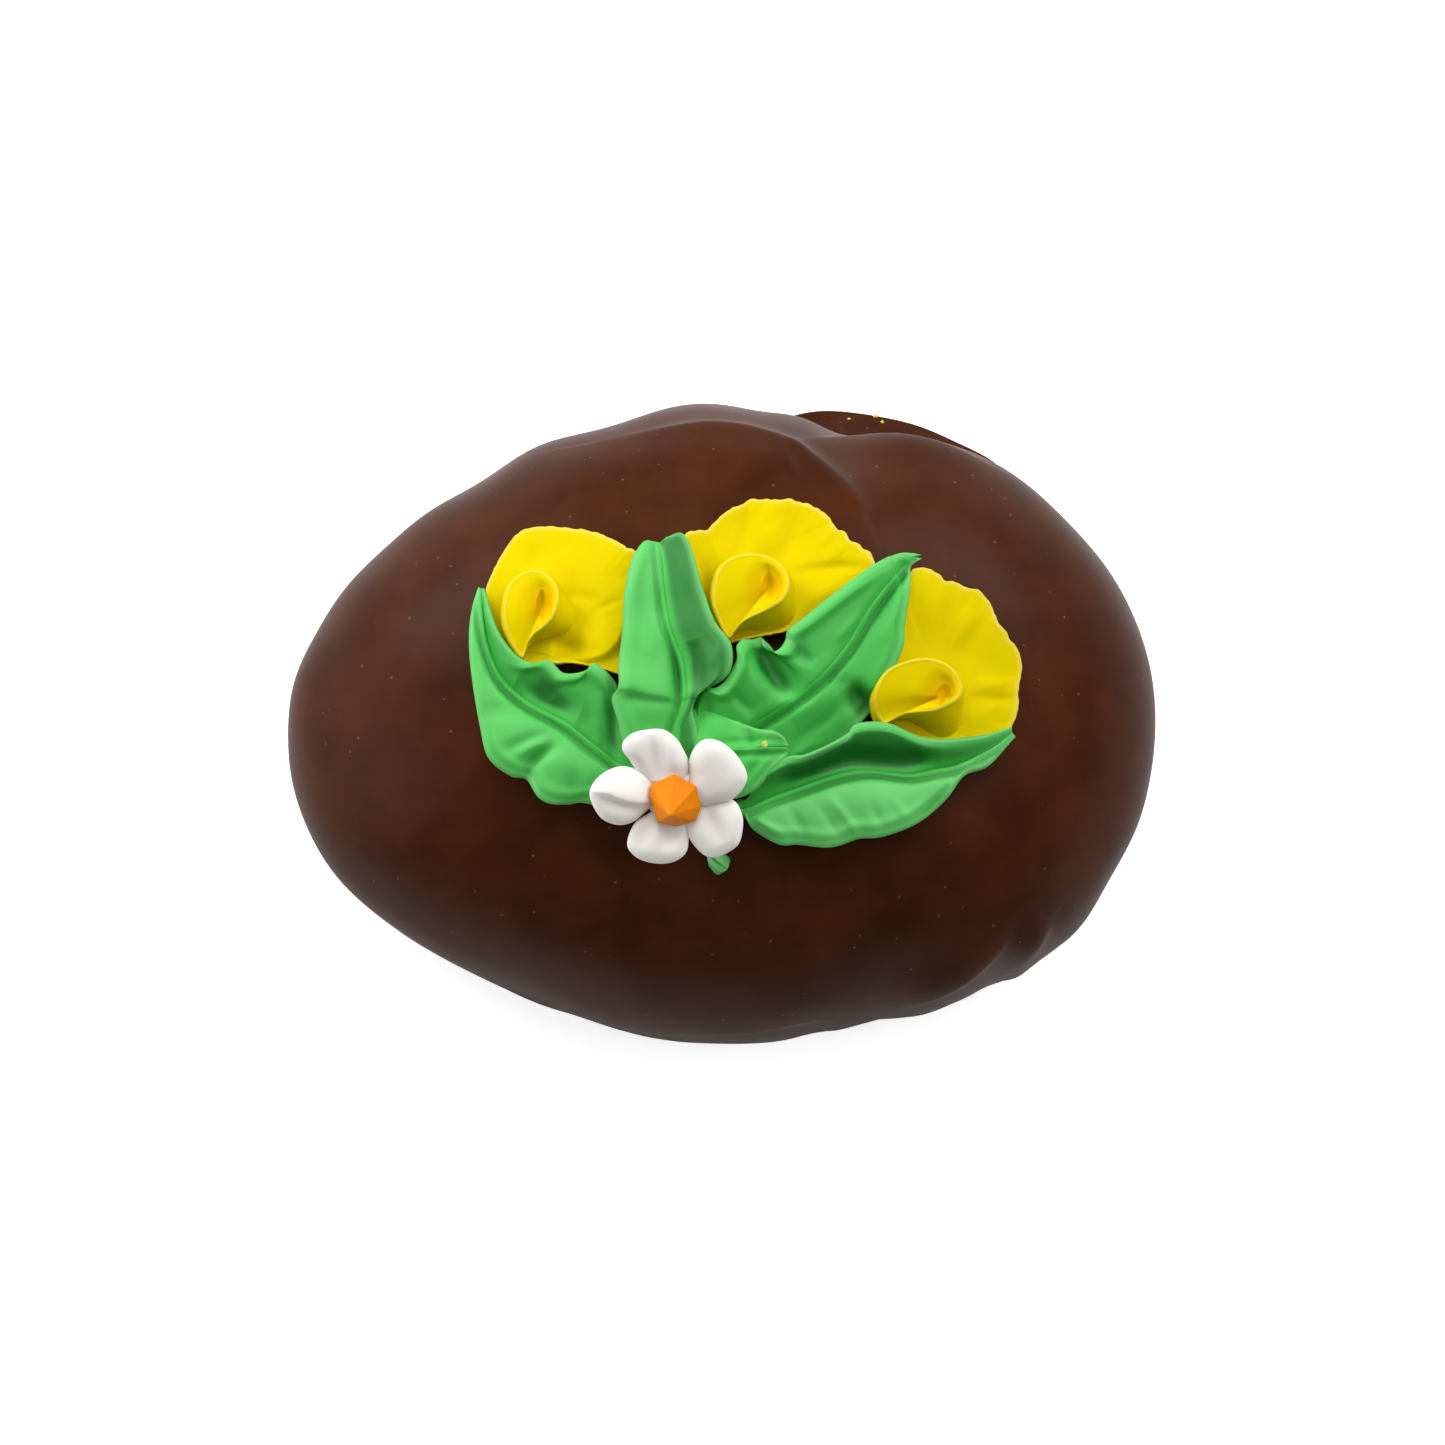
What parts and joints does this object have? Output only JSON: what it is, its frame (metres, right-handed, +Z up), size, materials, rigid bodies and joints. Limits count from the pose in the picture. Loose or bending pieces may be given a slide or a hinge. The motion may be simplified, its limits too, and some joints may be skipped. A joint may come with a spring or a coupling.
{
  "type": "decorated chocolate egg",
  "caption": "Dark chocolate egg lying on its flat base, topped with piped icing leaves, yellow sweet peas and a white drop flower.",
  "frame": {"origin": "centre of the bounding box at the flat base", "axes": "+X along the egg towards its blunt end, +Y towards the back, +Z up from the flat base"},
  "size_m": [0.102, 0.0792, 0.0526],
  "materials": {
    "chocolate": "satin dark chocolate, hand dipped",
    "leaf_icing": "dried green icing with a slight sheen",
    "yellow_icing": "dried yellow icing",
    "white_icing": "dried white icing",
    "orange_icing": "dried orange icing"
  },
  "bodies": {
    "root": {"egg": "chocolate", "leaf_left": "leaf_icing", "leaf_top": "leaf_icing", "leaf_right_upper": "leaf_icing", "leaf_right_lower": "leaf_icing", "leaf_centre": "leaf_icing", "leaf_tip": "leaf_icing", "sweet_pea_left_standard": "yellow_icing", "sweet_pea_left_keel": "yellow_icing", "sweet_pea_top_standard": "yellow_icing", "sweet_pea_top_keel": "yellow_icing", "sweet_pea_right_standard": "yellow_icing", "sweet_pea_right_keel": "yellow_icing", "white_flower": "white_icing", "orange_centre": "orange_icing"}
  },
  "joints": []
}
